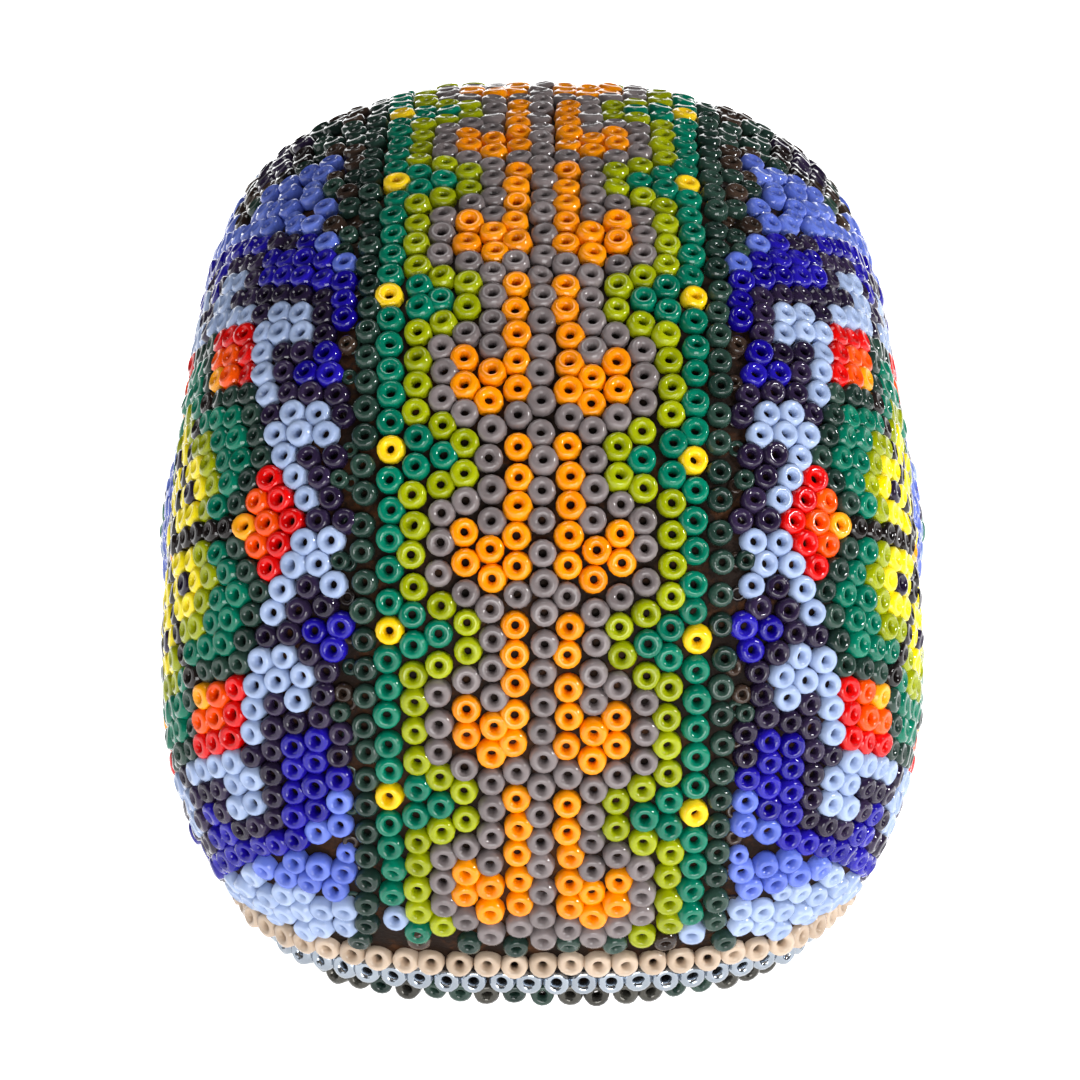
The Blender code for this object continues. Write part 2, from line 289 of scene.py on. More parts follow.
class Glass(Enum):
    """The hanks of beads that the maker has on the bench."""

    BLACK = GlassFinish((20, 15, 15), (52, 40, 36), 0.95, 0.05, 0.10)
    UMBER = GlassFinish((44, 32, 26), (82, 64, 52), 0.93, 0.06, 0.14)
    PINE = GlassFinish((26, 46, 40), (58, 86, 74), 0.93, 0.06, 0.14)
    TEAL = GlassFinish((0, 104, 80), (0, 130, 100), 1.03, 0.07, 0.14)
    LIME = GlassFinish((142, 152, 0), (172, 180, 12), 1.03, 0.07, 0.12)
    YELLOW = GlassFinish((240, 196, 0), (255, 222, 60), 1.03, 0.07, 0.10)
    LEMON = GlassFinish((244, 222, 0), (255, 240, 80), 1.0, 0.07, 0.10)
    TAUPE = GlassFinish((112, 103, 103), (138, 128, 128), 1.04, 0.10, 0.12)
    ORANGE = GlassFinish((238, 136, 0), (250, 158, 0), 1.05, 0.07, 0.12)
    AMBER = GlassFinish((250, 160, 8), (255, 196, 60), 1.0, 0.07, 0.10)
    CORAL = GlassFinish((240, 74, 0), (250, 100, 10), 1.0, 0.07, 0.12)
    RED = GlassFinish((206, 2, 2), (236, 22, 18), 1.0, 0.07, 0.12)
    SKY = GlassFinish((150, 168, 204), (176, 192, 222), 1.0, 0.09, 0.10)
    PERIWINKLE = GlassFinish((84, 104, 196), (118, 138, 216), 1.0, 0.08, 0.14)
    COBALT = GlassFinish((18, 5, 132), (44, 34, 180), 1.0, 0.06, 0.14)
    NAVY = GlassFinish((30, 20, 44), (66, 52, 86), 0.94, 0.06, 0.12)
    STEEL = GlassFinish((150, 158, 168), (180, 190, 200), 1.04, 0.10, 0.10, metallic=0.95)
    SMOKE = GlassFinish((64, 62, 57), (96, 94, 86), 1.0, 0.08, 0.14, metallic=0.5)
    BEIGE = GlassFinish((182, 160, 138), (206, 186, 166), 1.04, 0.10, 0.14)
    IVORY = GlassFinish((232, 224, 206), (248, 244, 232), 1.0, 0.09, 0.08)


@dataclass(frozen=True)
class WaxFinish:
    """Brown beeswax between the beads, its colour darkened as painted shade between them."""

    roughness: float = 0.5

    def dress(self) -> bpy.types.Material:
        """Mottled brown wax with a kneaded surface."""
        graph = Graph("beeswax")
        patches = graph.noise(3.5, detail=5.0)
        grains = graph.noise(0.5, detail=4.0)
        # the dark and brown stops are painted shade between the beads, over the wax's own mottling
        stops = (
            (0.30, linear(WAX_DARK_SHADED)),
            (0.52, linear(WAX_BROWN_SHADED)),
            (0.74, linear(WAX_LIGHT)),
        )
        colour = graph.node(
            "ShaderNodeValToRGB", {"stops": stops}, {"Fac": patches * 0.7 + grains * 0.3}
        )
        height = patches * 0.4 + grains * 0.6
        return graph.finish(
            Base_Color=colour,
            Roughness=grains * 0.25 + self.roughness,
            IOR=1.44,
            Specular_IOR_Level=0.15,
            Normal=graph.bump(height, 0.25, 0.8),
        )


@dataclass(frozen=True)
class CoreFinish:
    """The bare pulp of the core, which only its underside shows."""

    def dress(self) -> bpy.types.Material:
        """Chalky pulp with fibres and stains."""
        graph = Graph("core_pulp")
        place = graph.node("ShaderNodeTexCoord", output="Object")
        stretch = graph.node(
            "ShaderNodeMapping", {}, {"Vector": place, "Scale": (1.0, 0.25, 1.0)}
        )
        fibres = graph.node(
            "ShaderNodeTexNoise", {}, {"Vector": stretch, "Scale": 900.0, "Detail": 6.0}
        )
        stains = graph.noise(9.0, detail=4.0)
        stops = (
            (0.32, linear((92, 66, 42))),
            (0.55, linear((146, 112, 78))),
            (0.78, linear((178, 146, 108))),
        )
        colour = graph.node(
            "ShaderNodeValToRGB", {"stops": stops}, {"Fac": fibres * 0.55 + stains * 0.45}
        )
        return graph.finish(
            Base_Color=colour,
            Roughness=fibres * 0.2 + 0.72,
            Normal=graph.bump(fibres, 0.3, 0.6),
        )


# ---------------------------------------------------------------- the form


@dataclass(frozen=True)
class Feature:
    """A hollow or a swelling of the face, as an ellipse in the front view.

    Attributes:
        across: how far its middle is from the middle of the face.
        height: how high its middle is.
        half_width: half its width.
        half_height: half its height.
        depth: how deep it is in its middle; below 0 it stands out.
    """

    EDGE = 1.2  # where it ends, as a share of its half size
    FADE = 10.0  # it fades out towards the middle of the skull over this length

    across: float
    height: float
    half_width: float
    half_height: float
    depth: float

    def sink(self, points: Array) -> Array:
        """How deep the feature is at each point: full in its middle, none past its rim."""
        distance = np.hypot(
            (np.abs(points[:, 0]) - self.across) / self.half_width,
            (points[:, 2] - self.height) / self.half_height,
        )
        front = smooth(points[:, 1] / self.FADE)
        return self.depth * front * smooth(self.EDGE - distance)


@dataclass(frozen=True)
class Swelling:
    """A soft bump about a direction from the middle of the braincase, on both sides.

    Attributes:
        place: the direction.
        rise: how far it stands out; below 0 it is a dip.
        spread: its half width as an angle.
    """

    place: tuple[float, float, float]
    rise: float
    spread: float

    def lift(self, ways: Array) -> Array:
        """How far the bump stands out along each direction."""
        mirrored = np.column_stack([np.abs(ways[:, 0]), ways[:, 1:]])
        off = np.arccos(np.clip(mirrored @ unit(np.array(self.place)), -1.0, 1.0))
        return self.rise * np.exp(-((off / self.spread) ** 2))


@dataclass
class SkullForm:
    """The outer form of the bead skin, in millimetres, about the frame's own origin.

    Attributes:
        half_width: half its width.
        rear_length: from its centre to the back.
        front_length: from its centre to the face.
        rise: from its centre to the crown.
        drop: from its centre down to where the rounding would end.
        centre_height: height of its centre above the table.
        power_above: how square the side view is above the centre.
        power_below: the same below the centre.
        width_power: how square the outline is across.
        rear_edge: how sharp the edge between the side view and the flanks is behind.
        front_edge: the same at the face.
        edge_change: how far forward, as a share of a direction, the front edge is reached.
        taper_above: how much narrower the crown is.
        taper_below: how much narrower the bottom is.
        taper_power_above: how late the taper sets in above.
        taper_power_below: the same below.
    """

    NEAREST, FARTHEST = 15.0, 75.0  # how far the form can lie from its centre
    HALVINGS = 24
    LONGEST = 60.0  # no straight line from inside runs further than this
    LINE_HALVINGS = 22

    half_width: float = 31.0
    rear_length: float = 43.9
    front_length: float = 38.0
    rise: float = 40.7
    drop: float = 30.5
    centre_height: float = 22.8
    power_above: float = 2.2
    power_below: float = 2.87
    width_power: float = 2.66
    rear_edge: float = 6.4
    front_edge: float = 3.4
    edge_change: float = 0.8
    taper_above: float = 0.17
    taper_below: float = 0.39
    taper_power_above: float = 1.6
    taper_power_below: float = 2.0
    eye: Feature = Feature(14.5, 34.0, 9.6, 9.6, 4.2)
    nose: Feature = Feature(0.0, 23.4, 5.6, 6.0, 1.8)
    muzzle: Feature = Feature(0.0, 11.0, 19.0, 14.0, -3.5)
    brow: Feature = Feature(12.0, 45.5, 15.0, 6.0, -1.4)
    cheekbone: Swelling = Swelling((0.86, 0.42, -0.12), 3.2, 0.42)
    temple: Swelling = Swelling((0.80, 0.52, 0.30), -1.2, 0.30)
    centre: Array = field(init=False)

    def __post_init__(self) -> None:
        """Centres the form's length on the origin, as the frame's is."""
        self.centre = np.array([0.0, 0.0, self.centre_height])
        turns = np.linspace(0, 2 * math.pi, 720)
        sides = np.linspace(-1.2, 1.2, 49)
        turn, side = (grid.ravel() for grid in np.meshgrid(turns, sides))
        ways = np.column_stack([np.sin(side), np.cos(turn) * np.cos(side), np.sin(turn) * np.cos(side)])
        skin = self.place(unit(ways))
        lengthways = skin[skin[:, 2] > 0][:, 1]
        self.centre[1] = -(lengthways.min() + lengthways.max()) / 2

    def braincase(self, ways: Array) -> Array:
        """Distance from the centre to the plain braincase along each unit direction."""
        x, y, z = np.abs(ways[:, 0]), ways[:, 1], ways[:, 2]
        above = z > 0
        length = np.where(y > 0, self.front_length, self.rear_length)
        height = np.where(above, self.rise, self.drop)
        power = np.where(above, self.power_above, self.power_below)
        profile = ((np.abs(y) / length) ** power + (np.abs(z) / height) ** power) ** (1 / power)
        edge = self.rear_edge + (self.front_edge - self.rear_edge) * smooth(y / self.edge_change)
        taper = np.where(above, self.taper_above, self.taper_below)
        taper_power = np.where(above, self.taper_power_above, self.taper_power_below)
        low = np.full(len(ways), self.NEAREST)
        high = np.full(len(ways), self.FARTHEST)
        for _ in range(self.HALVINGS):
            r = (low + high) / 2
            rise = np.minimum(r * np.abs(z) / height, 1.0)
            width = self.half_width * (1 - taper * rise**taper_power)
            inside = (r * x / width) ** self.width_power + (r * profile) ** edge < 1
            low, high = np.where(inside, r, low), np.where(inside, high, r)
        return low

    def radius(self, ways: Array) -> Array:
        """Distance from the centre to the form along each unit direction."""
        plain = self.braincase(ways)
        points = ways * plain[:, None] + np.array([0.0, 0.0, self.centre_height])
        for feature in (self.eye, self.nose, self.muzzle, self.brow):
            plain = plain - feature.sink(points)
        return plain + self.cheekbone.lift(ways) + self.temple.lift(ways)

    def place(self, ways: Array) -> Array:
        """The points of the form along unit directions from its centre."""
        return ways * self.radius(ways)[:, None] + self.centre

    def settle(self, points: Array) -> Array:
        """The points moved along their rays from the centre onto the form."""
        return self.place(unit(points - self.centre))

    def level(self, points: Array) -> Array:
        """Height above the form, along the ray from its centre."""
        offset = points - self.centre
        distance = np.linalg.norm(offset, axis=1)
        return distance - self.radius(offset / distance[:, None])

    def normals(self, points: Array, step: float = 0.06) -> Array:
        """Unit normals of the form at points on it."""
        slopes = [
            self.level(points + shift) - self.level(points - shift)
            for shift in np.eye(3) * step
        ]
        return unit(np.column_stack(slopes))

    def _ends(self, start: Array, ways: Array) -> Array:
        """Where straight lines from points inside leave the form."""
        low, high = np.zeros(len(ways)), np.full(len(ways), self.LONGEST)
        for _ in range(self.LINE_HALVINGS):
            reach = (low + high) / 2
            inside = self.level(start + ways * reach[:, None]) < 0
            low, high = np.where(inside, reach, low), np.where(inside, high, reach)
        return start + ways * low[:, None]

    def front(self, x: Array, z: Array) -> Array:
        """The points of the face straight ahead of places in the front view."""
        start = np.column_stack([x, np.zeros(len(x)), z])
        return self._ends(start, np.tile([0.0, 1.0, 0.0], (len(x), 1)))

    def slice_x(self, x: float, turns: Array) -> Array:
        """The form's outline in the plane at x, by angle from straight back over the top."""
        ways = np.column_stack([np.zeros(len(turns)), -np.cos(turns), np.sin(turns)])
        return self._ends(self.centre + np.array([x, 0.0, 0.0]), ways)

    def slice_z(self, z: float, count: int = 720) -> Array:
        """The form's outline at one height, from the middle of the back round to it again."""
        turns = np.linspace(0, 2 * math.pi, count, endpoint=False)
        ways = np.column_stack([np.sin(turns), -np.cos(turns), np.zeros(count)])
        return self._ends(np.array([0.0, self.centre[1], z]), ways)

    def walk(self, start: Array, ways: Array, reach: Array, steps: int = 60) -> Array:
        """Ends of straight walks over the form.

        Args:
            start: the point that every walk leaves from.
            ways: the first heading of each walk.
            reach: the length of each walk.
            steps: how many short steps each is made of.

        Returns:
            The points where the walks end.
        """
        points = np.repeat(start[None, :], len(ways), axis=0)
        heading = ways.copy()
        stride = (reach / steps)[:, None]
        for _ in range(steps):
            ahead = self.settle(points + heading * stride)
            normal = self.normals(ahead)
            heading = heading - (heading * normal).sum(1, keepdims=True) * normal
            heading = unit(heading)
            points = ahead
        return points


def along(line: Array, distances: Array) -> Array:
    """Points at distances along a line of points."""
    gaps = np.linalg.norm(np.diff(line, axis=0), axis=1)
    reach = np.concatenate([[0.0], np.cumsum(gaps)])
    return np.column_stack([np.interp(distances, reach, line[:, axis]) for axis in range(3)])


def length_of(line: Array) -> float:
    """The length of a line of points."""
    return float(np.linalg.norm(np.diff(line, axis=0), axis=1).sum())


# ---------------------------------------------------------------- beads


@dataclass
class BeadShape:
    """One seed bead as a closed ring with plump sides, standing on its hole.

    Attributes:
        width: across the bead.
        height: along its hole.
        hole: across the hole.
        sides: how many sides it has round its hole.
        bands: how many faces go round its section.
        squareness: how full its section is; at 1 it is an ellipse, and lower is fuller.
    """

    TONE = "bead_tone"
    HEIGHT = "bead_height"

    width: float = 2.26
    height: float = 1.84
    hole: float = 0.52
    sides: int = 14
    bands: int = 7
    squareness: float = 0.92

    def build(self) -> tuple[Array, list[tuple[int, ...]]]:
        """Makes the bead from a torus in edit mode, then takes its mesh.

        Returns:
            Its corner points in millimetres and its faces.
        """
        thick = (self.width - self.hole) / 4
        bpy.ops.object.select_all(action="DESELECT")
        bpy.ops.mesh.primitive_torus_add(
            major_segments=self.sides,
            minor_segments=self.bands,
            major_radius=(self.width + self.hole) / 4,
            minor_radius=thick,
        )
        bead = bpy.context.object
        bpy.ops.object.mode_set(mode="EDIT")
        bpy.ops.mesh.select_all(action="SELECT")
        bpy.ops.transform.resize(value=(1.0, 1.0, self.height / (2 * thick)))
        bpy.ops.mesh.normals_make_consistent(inside=False)
        bpy.ops.object.mode_set(mode="OBJECT")
        points = np.array([corner.co for corner in bead.data.vertices])
        points = self._plump(points)
        faces = [tuple(face.vertices) for face in bead.data.polygons]
        bpy.data.objects.remove(bead)
        return points, faces

    def _plump(self, points: Array) -> Array:
        """Squares the section a little, as fire-polished glass has it."""
        middle = (self.width + self.hole) / 4
        thick = (self.width - self.hole) / 4
        reach = np.hypot(points[:, 0], points[:, 1])
        out = (reach - middle) / thick
        up = points[:, 2] / (self.height / 2)
        squarer = np.sign(up) * np.abs(up) ** self.squareness
        wider = np.sign(out) * np.abs(out) ** np.where(out > 0, self.squareness, 1.0)
        scale = (middle + wider * thick) / reach
        made = points.copy()
        made[:, :2] *= scale[:, None]
        made[:, 2] = squarer * self.height / 2
        return made


@dataclass
class Bead:
    """One laid bead.

    Attributes:
        point: where it is pressed in.
        glass: its glass.
        piece: the field that it belongs to.
        size: its width against that of its hank.
        sink: how much deeper than the others it sits.
        slope: how much of the form's slope its hole follows.
    """

    point: Array
    glass: Glass
    piece: str
    size: float = 1.0
    sink: float = 0.0
    slope: float = 1.0


@dataclass
class Bench:
    """Everything laid so far, and the pieces that it becomes.

    Attributes:
        form: the skull's outer form.
        shape: the bead that is copied.
        seed: starts the small differences from bead to bead.
        tilt: how far a bead leans, in radians.
        lift: how far a bead stands in or out.
        width_change: how far a bead's width differs, as a share.
        height_change: how far a bead's height differs, as a share.
    """

    ASKEW = np.array([0.31, 0.57, 0.76])  # a direction that no bead's hole takes

    form: SkullForm
    shape: BeadShape
    seed: int = 11
    tilt: float = 0.085
    lift: float = 0.07
    width_change: float = 0.022
    height_change: float = 0.06
    beads: list[Bead] = field(default_factory=list)

    def lay(self, points: Array, glasses: Sequence[Glass], piece: str, size: float = 1.0,
            sink: float = 0.0, slope: float = 1.0) -> None:
        """Adds beads to a field.

        Args:
            points: where they are pressed in.
            glasses: the glass of each.
            piece: the field.
            size: their width against that of their hank.
            sink: how much deeper than the others they sit.
            slope: how much of the form's slope their holes follow; at 0 they face level.
        """
        self.beads += [Bead(p, g, piece, size, sink, slope) for p, g in zip(points, glasses)]

    def points(self) -> Array:
        """The places of all beads."""
        return np.array([bead.point for bead in self.beads]).reshape(-1, 3)

    def full_points(self) -> Array:
        """The places of the beads that are not sunk between others."""
        return np.array([bead.point for bead in self.beads if bead.sink == 0.0])

    def room(self, points: Array, laid: Array | None = None) -> Array:
        """How far each point is from the nearest bead, of all or of some that are laid."""
        laid = self.points() if laid is None else laid
        return np.linalg.norm(points[:, None] - laid[None], axis=2).min(1)

    def build(self, slots: dict[str, str]) -> list[bpy.types.Object]:
        """Makes one object for each field and colour.

        Args:
            slots: the record's material slot of each field; not used.

        Returns:
            The objects.
        """
        shape, faces = self.shape.build()
        corners, tones = self._turned(shape)
        groups: dict[tuple[str, Glass], list[int]] = {}
        for index, bead in enumerate(self.beads):
            groups.setdefault((bead.piece, bead.glass), []).append(index)
        materials = {glass: glass.value.dress("glass_" + glass.name.lower()) for glass in Glass}
        made = []
        for (piece, glass), rows in groups.items():
            name = f"{piece}_{glass.name.lower()}"
            quads = repeat_faces(faces, len(shape), len(rows))
            thing = mesh_object(name, corners[rows].reshape(-1, 3) * MM, quads)
            store(thing, BeadShape.HEIGHT, np.tile(shape[:, 2] / self.shape.height + 0.5, len(rows)))
            store(thing, BeadShape.TONE, np.repeat(tones[rows], len(shape)))
            thing.data.materials.append(materials[glass])
            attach(thing, BODY)
            LOG.info("%s: %d beads", name, len(rows))
            made.append(thing)
        return made

    def _turned(self, shape: Array) -> tuple[Array, Array]:
        """Stands every bead on the form, each a little different from the next.

        Args:
            shape: the corner points of the bead that is copied.

        Returns:
            The corner points of each bead and its tone from 0 to 1.
        """
        random = np.random.default_rng(self.seed)
        count = len(self.beads)
        up = self.form.normals(self.points())
        up[:, 2] *= np.array([bead.slope for bead in self.beads])
        up = unit(up + random.normal(0.0, self.tilt, (count, 3)))
        size = np.array([bead.size * bead.glass.value.size for bead in self.beads])
        sink = np.array([bead.sink for bead in self.beads])
        wide = size * (1.0 + random.normal(0.0, self.width_change, count))
        tall = size * (1.0 + random.normal(0.0, self.height_change, count))
        depth = self.shape.height / 2 - random.normal(0.0, self.lift, count) + sink
        spin = random.uniform(0.0, 2 * math.pi, count)[:, None]
        tones = random.uniform(0.0, 1.0, count)
        side = unit(np.cross(up, self.ASKEW))
        first = side * np.cos(spin) + np.cross(up, side) * np.sin(spin)
        second = np.cross(up, first)
        corners = (
            self.points()[:, None, :]
            + shape[None, :, 0:1] * wide[:, None, None] * first[:, None, :]
            + shape[None, :, 1:2] * wide[:, None, None] * second[:, None, :]
            + (shape[None, :, 2:3] * tall[:, None, None] - depth[:, None, None]) * up[:, None, :]
        )
        return corners, tones


def flip(points: Array, sign: int) -> Array:
    """The points, or for -1 their mirror images on the skull's other side."""
    return points * np.array([sign, 1, 1])


def repeat_faces(faces: list[tuple[int, ...]], size: int, copies: int) -> Array:
    """The faces of many copies of one mesh of quads."""
    base = np.array(faces)
    shift = np.arange(copies)[:, None, None] * size
    return (base[None] + shift).reshape(-1, base.shape[1])


def mesh_object(name: str, points: Array, faces: Array) -> bpy.types.Object:
    """A smooth mesh object in the scene, at the origin."""
    mesh = bpy.data.meshes.new(name)
    mesh.from_pydata(points, [], faces)
    mesh.shade_smooth()
    made = bpy.data.objects.new(name, mesh)
    bpy.context.scene.collection.objects.link(made)
    return made


def store(thing: bpy.types.Object, name: str, values: Array) -> None:
    """Stores a number on each corner point of a mesh."""
    layer = thing.data.attributes.new(name, "FLOAT", "POINT")
    layer.data.foreach_set("value", np.asarray(values, np.float32))


# ---------------------------------------------------------------- fields


@dataclass(frozen=True)
class Hank:
    """A choice of glass for each letter that a pattern is written in."""

    letters: dict[str, Glass]

    def thread(self, pattern: str, count: int, start: str = "") -> list[Glass]:
        """A thread of beads: its start, then the pattern over and over."""
        repeats = count // len(pattern) + 1
        return [self.letters[letter] for letter in (start + pattern * repeats)[:count]]


BAND_HANK = Hank(
    {
        "d": Glass.PINE,
        "g": Glass.TEAL,
        "y": Glass.LIME,
        "Y": Glass.YELLOW,
        "t": Glass.TAUPE,
        "o": Glass.ORANGE,
        "l": Glass.SKY,
    }
)
STAR_HANK = Hank(
    {
        "k": Glass.BLACK,
        "n": Glass.NAVY,
        "d": Glass.PINE,
        "g": Glass.TEAL,
        "y": Glass.LIME,
        "Y": Glass.LEMON,
        "a": Glass.AMBER,
        "o": Glass.CORAL,
        "r": Glass.RED,
        "l": Glass.SKY,
        "b": Glass.COBALT,
        "w": Glass.PERIWINKLE,
    }
)


@dataclass
class BaseRows:
    """Three rows of beads round the base, from the table up.

    Attributes:
        pitch: from one bead to the next.
        names: the field of each row.
        heights: how high the middle of each row is.
        slope: how much of the form's slope the holes follow.
    """

    bench: Bench
    pitch: float = 2.2
    names: tuple[str, ...] = ("base_row_lower", "base_row_upper", "base_row_beige")
    heights: tuple[float, ...] = (1.12, 3.4, 5.7)
    slope: float = 0.1

    def lay(self) -> None:
        """Lays the rows, each half a bead on from the one below."""
        mixed = (Glass.SMOKE, Glass.SMOKE, Glass.PINE)
        random = np.random.default_rng(3)
        for row, (name, height) in enumerate(zip(self.names, self.heights)):
            outline = self.bench.form.slice_z(height)
            outline = np.vstack([outline, outline[:1]])
            whole = length_of(outline)
            count = round(whole / self.pitch)
            steps = (np.arange(count) + row / 2) * whole / count
            if row == 0:
                glasses = [mixed[pick] for pick in random.integers(0, len(mixed), count)]
            else:
                glasses = [Glass.STEEL if row == 1 else Glass.BEIGE] * count
            self.bench.lay(along(outline, steps % whole), glasses, name, slope=self.slope)


@dataclass
class CrownBand:
    """The band of columns up the back, over the crown and down to the forehead.

    Attributes:
        patterns: the repeat of each column, from the middle outwards.
        starts: what the first beads at the base are, where the repeat has not begun.
        foot: height of the lowest bead of the middle column.
        end: how far forward the band runs.
        border_place: how far out the sparse dark column along each edge is.
        border_pitch: from one of its beads to the next.
        border_first: from its foot to its first bead.
        border_slip: how far its beads lie off their even places.
        border_size: their width against a whole bead.
        border_sink: how much deeper they sit.
        slip: how far the beads of the band lie off their even places.
        wander: how far a column strays in slow waves.
        sway: length of those waves, over 2 pi.
        left_rise: how much higher the outermost column on the left starts.
        rise_reach: how far up the column that has evened out.
    """

    bench: Bench
    patterns: tuple[str, ...] = ("t", "tooooo", "toottt", "tootyy", "tttygy", "yyyygg", "gggggY", "d")
    starts: tuple[str, ...] = ("", "", "", "", "y", "", "lggggY", "")
    foot: float = ROWS_TOP + 2.1
    end: float = 24.5
    border_place: float = 15.05
    border_pitch: float = 2.9
    border_first: float = 0.4
    border_slip: float = 0.2
    border_size: float = 0.72
    border_sink: float = 0.42
    slip: float = 0.06
    wander: float = 0.13
    sway: float = 6.0
    left_rise: float = 2.1
    rise_reach: float = 60.0

    def _column(self, x: float, turns: Array) -> Array:
        """The line of the column at x, from its foot forwards."""
        line = self.bench.form.slice_x(x, turns)
        return line[(line[:, 2] > self.foot) & (line[:, 1] < self.end)]

    def lay(self) -> None:
        """Lays the columns, then the sparse dark column along each edge."""
        turns = np.linspace(-0.62, 2.4, 900)
        random = np.random.default_rng(5)
        last = len(self.patterns) - 1
        for number in range(-last, last + 1):
            self._lay_column(number, turns, random)
        dark = (Glass.BLACK, Glass.UMBER, Glass.PINE)
        for side, sign in SIDES.items():
            line = self._column(sign * self.border_place, turns)
            steps = np.arange(self.border_first, length_of(line), self.border_pitch)
            steps = steps + random.normal(0.0, self.border_slip, len(steps))
            glasses = [dark[pick] for pick in random.integers(0, len(dark), len(steps))]
            name = "border_column_" + side
            self.bench.lay(along(line, steps), glasses, name, self.border_size, self.border_sink)

    def _lay_column(self, number: int, turns: Array, random: np.random.Generator) -> None:
        """Lays one column of the band.

        Args:
            number: which one, counted from the middle; below 0 is left.
            turns: the angles that its line is read at.
            random: gives the small differences from even places.
        """
        line = self._column(number * COLUMN_SPACING, turns)
        kind = abs(number)
        late = 0.0 if number % 2 == 0 else COLUMN_PITCH / 2
        rise = self.left_rise * kind / (len(self.patterns) - 1) if number < 0 else 0.0
        spare = int(late + rise > COLUMN_PITCH)
        steps = np.arange(late - spare * COLUMN_PITCH, length_of(line) - rise, COLUMN_PITCH)
        start = self.patterns[kind][-1] * spare + self.starts[kind]
        glasses = BAND_HANK.thread(self.patterns[kind], len(steps), start)
        steps = steps + rise * np.clip(1 - steps / self.rise_reach, 0.0, 1.0)
        phase = random.uniform(0.0, 2 * math.pi, 2)
        steps = steps + self.wander * np.sin(steps / self.sway + phase[0])
        places = along(line, steps) + random.normal(0.0, self.slip, (len(steps), 3))
        places[:, 0] += self.wander * np.sin(steps / self.sway + phase[1])
        self.bench.lay(self.bench.form.settle(places), glasses, "centre_band")


@dataclass
class Star:
    """A star of six points, laid ring by ring from its middle bead.

    Attributes:
        middle: where its middle bead is pressed in.
        spoke: angle of its first point above the level line to the back.
        rings: each ring's thread for one sixth of the way round, its first bead on a point.
        heart: glass of the middle bead.
        pitch: from one bead to the next.
    """

    form: SkullForm
    middle: tuple[float, float, float]
    spoke: float
    rings: tuple[str, ...]
    heart: Glass = Glass.RED
    pitch: float = PITCH

    def grid(self) -> tuple[Array, list[Glass], Array]:
        """The flat plan of the star.

        Returns:
            Places as (level, up), the glass of each and its ring.
        """
        turns = [math.radians(self.spoke + 60 * point) for point in range(7)]
        points = [np.array([math.cos(turn), math.sin(turn)]) for turn in turns]
        places, glasses, numbers = [np.zeros(2)], [self.heart], [0]
        for ring, thread in enumerate(self.rings, start=1):
            for sector in range(6):
                for step, letter in enumerate(thread):
                    place = (ring - step) * points[sector] + step * points[sector + 1]
                    places.append(place * self.pitch)
                    glasses.append(STAR_HANK.letters[letter])
                    numbers.append(ring)
        return np.array(places), glasses, np.array(numbers)

    def lay_out(self) -> tuple[Array, list[Glass], Array]:
        """The star on the form, eased until its beads lie evenly.

        Returns:
            The points, the glass of each and its ring.
        """
        plan, glasses, numbers = self.grid()
        start = self.form.settle(np.array([self.middle]))
        up_way = np.array([0.0, 0.0, 1.0])
        normal = self.form.normals(start)[0]
        level = unit(np.cross(up_way, normal))
        level = level * -np.sign(level[1] if abs(level[1]) > 0.2 else level[0])
        rise = np.cross(normal, level)
        rise = rise * np.sign(rise[2])
        reach = np.linalg.norm(plan, axis=1)
        heading = unit(plan[:, :1] * level + plan[:, 1:] * rise + 1e-9 * level)
        points = self.form.walk(start[0], heading, reach)
        gaps = np.linalg.norm(plan[:, None] - plan[None], axis=2)
        pairs = np.argwhere(np.triu(gaps < self.pitch * 1.2, 1))
        return ease(self.form, points, pairs, self.pitch, rounds=60), glasses, numbers


def ease(form: SkullForm, points: Array, pairs: Array, rest: float, rounds: int,
         held: int = 0, pull: bool = True) -> Array:
    """Moves beads until neighbours lie evenly.

    Args:
        form: the form that they stay on.
        points: their places; the first few may be held.
        pairs: the neighbours.
        rest: how far apart neighbours want to be.
        rounds: how many small moves are made.
        held: how many of the first points stay where they are.
        pull: whether neighbours that are too far apart are drawn together.

    Returns:
        The places after easing.
    """
    made = points.copy()
    first, second = pairs[:, 0], pairs[:, 1]
    for _ in range(rounds):
        gap = made[second] - made[first]
        distance = np.linalg.norm(gap, axis=1)
        excess = distance - rest
        if not pull:
            excess = np.minimum(excess, 0.0)
        move = gap * (excess / np.maximum(distance, 0.01) * 0.22)[:, None]
        shift = np.zeros_like(made)
        np.add.at(shift, first, move)
        np.add.at(shift, second, -move)
        shift[:held] = 0.0
        made[held:] = form.settle(made[held:] + shift[held:])
    return made


SIDE_STAR = (
    "k", "kY", "kYY", "kYnY", "kyYYy", "kgyyyg", "adggggd", "oodgggdo", "rrrddddrr",
    "nllllnllll", "nnnnllnnnll", "bbbnllnbnlln", "bbbbnnnbbnnnb", "wwbnnbbbbbbbbw",
)  # fmt: skip
FACE_STAR = ("Y", "Yo", "roo", "nrrn")
CHEEK_STAR = ("Y", "go", "nng")


@dataclass
class Areas:
    """Where one field of the skin ends and the next begins.

    Attributes:
        side_top: height at which the side fields end and the crown fields begin.
        side_front: how far forward the side fields run.
        face_rear: how far back the face begins.
        forehead_bottom: height at which the forehead begins.
    """

    side_top: float = 54.0
    side_front: float = 10.5
    face_rear: float = 24.5
    forehead_bottom: float = 44.6

    def name(self, point: Array) -> str:
        """The field that a point of the skin belongs to."""
        side = "right" if point[0] > 0 else "left"
        if point[1] > self.face_rear:
            return "forehead" if point[2] > self.forehead_bottom else "cheek_" + side
        if point[2] > self.side_top:
            return "crown_field_" + side
        return ("side_field_" if point[1] < self.side_front else "temple_") + side


